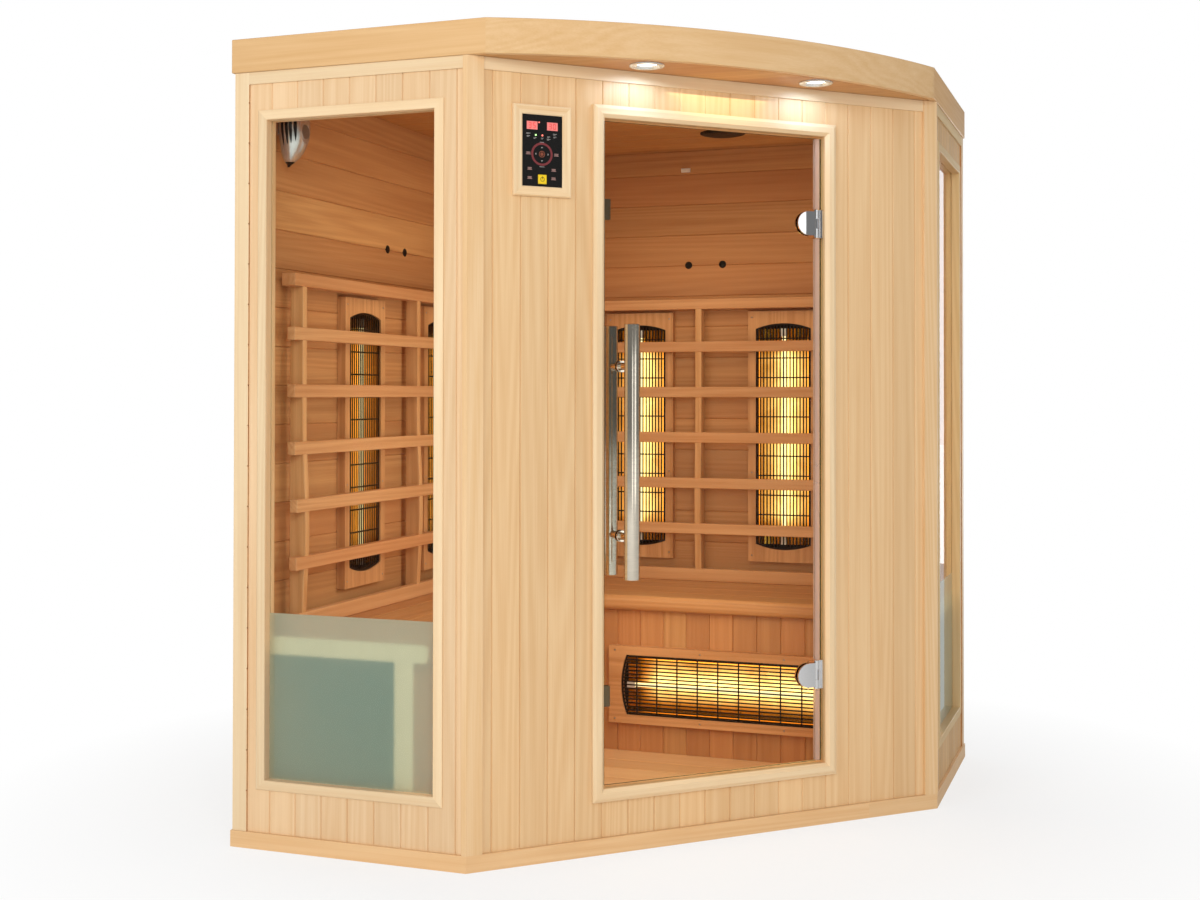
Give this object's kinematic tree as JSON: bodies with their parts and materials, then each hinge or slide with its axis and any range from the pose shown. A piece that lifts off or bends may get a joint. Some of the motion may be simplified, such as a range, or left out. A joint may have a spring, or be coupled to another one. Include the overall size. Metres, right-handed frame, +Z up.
{
  "type": "corner infrared sauna cabin",
  "caption": "Wooden corner sauna cabin with a diagonal glass-door front, side windows, an L-shaped bench with slatted backrests and arched infrared heaters behind bar grilles.",
  "frame": {"origin": "on the floor, at the centre of the square that the cabin stands in", "axes": "+Z up; the back walls stand at -X and +Y, the side walls at -Y and +X, and the door front faces +X -Y"},
  "size_m": [1.522, 1.522, 1.9],
  "materials": {
    "outer_wood": "satin clear-lacquered pale softwood, upright boards",
    "trim_wood": "satin pale softwood mouldings",
    "fascia_wood": "satin warm softwood",
    "lining_wood": "untreated warm cedar-coloured boards",
    "plain_board": "matte plywood",
    "clear_glass": "clear tempered glass, frosted film on the lower part of the side windows",
    "steel": "fine brushed stainless steel",
    "chrome": "polished chrome plate",
    "grille_black": "satin black coated steel bars",
    "reflector_gold": "bright gilded sheet lit by the tube",
    "black_plastic": "semi-gloss black",
    "yellow_plastic": "satin yellow",
    "white_plastic": "satin white",
    "silver_plastic": "silver painted plastic",
    "grey_steel": "zinc grey sheet steel"
  },
  "bodies": {
    "cabin": {"floor_base": "outer_wood", "side_wall_left": "outer_wood", "side_wall_right": "outer_wood", "front_wall": "outer_wood", "back_wall_left": "lining_wood", "back_wall_right": "lining_wood", "ceiling_panel": "lining_wood", "bench_seat_left": "lining_wood", "bench_seat_right": "lining_wood", "bench_front_left": "lining_wood", "bench_front_right": "lining_wood", "backrest_left": "lining_wood", "backrest_right": "lining_wood", "corner_post_left": "trim_wood", "corner_post_right": "trim_wood", "top_batten_front": "trim_wood", "top_batten_left": "trim_wood", "top_batten_right": "trim_wood", "window_moulding_left": "trim_wood", "window_moulding_right": "trim_wood", "door_moulding": "trim_wood", "control_bezel": "trim_wood", "roof_fascia": "fascia_wood", "roof_dust_cover": "plain_board", "power_supply_box": "grey_steel", "window_glass_left": "clear_glass", "window_glass_right": "clear_glass", "hinge_jamb_plate_upper": "chrome", "hinge_jamb_plate_lower": "chrome", "control_face": "black_plastic", "speaker_left": "black_plastic", "speaker_right": "black_plastic", "temperature_sensor": "white_plastic", "air_ioniser": "silver_plastic", "downlight_left": "silver_plastic", "downlight_right": "silver_plastic", "heater_right_outer_frame": "lining_wood", "heater_right_outer_grille": "grille_black", "heater_right_outer_emitter": "reflector_gold", "heater_right_inner_frame": "lining_wood", "heater_right_inner_grille": "grille_black", "heater_right_inner_emitter": "reflector_gold", "heater_left_outer_frame": "lining_wood", "heater_left_outer_grille": "grille_black", "heater_left_outer_emitter": "reflector_gold", "heater_left_inner_frame": "lining_wood", "heater_left_inner_grille": "grille_black", "heater_left_inner_emitter": "reflector_gold", "leg_heater_frame": "lining_wood", "leg_heater_grille": "grille_black", "leg_heater_emitter": "reflector_gold"},
    "door": {"door_glass": "clear_glass", "handle_outer": "steel", "handle_inner": "steel", "hinge_clamp_upper": "chrome", "hinge_clamp_lower": "chrome", "strike_plate_upper": "grey_steel", "strike_plate_lower": "grey_steel"},
    "power_key": {"power_key": "yellow_plastic"}
  },
  "joints": [
    {"name": "door_swing", "type": "hinge", "parent": "cabin", "child": "door", "pos_m": [0.49566, -0.0912, 0.928], "axis": [0, 0, 1], "range_deg": [0, 100]},
    {"name": "power_key_press", "type": "slide", "parent": "cabin", "child": "power_key", "axis": [-0.7071, 0.7071, 0], "range_m": [0, 0.001], "stiffness_N_per_m": 1000}
  ]
}
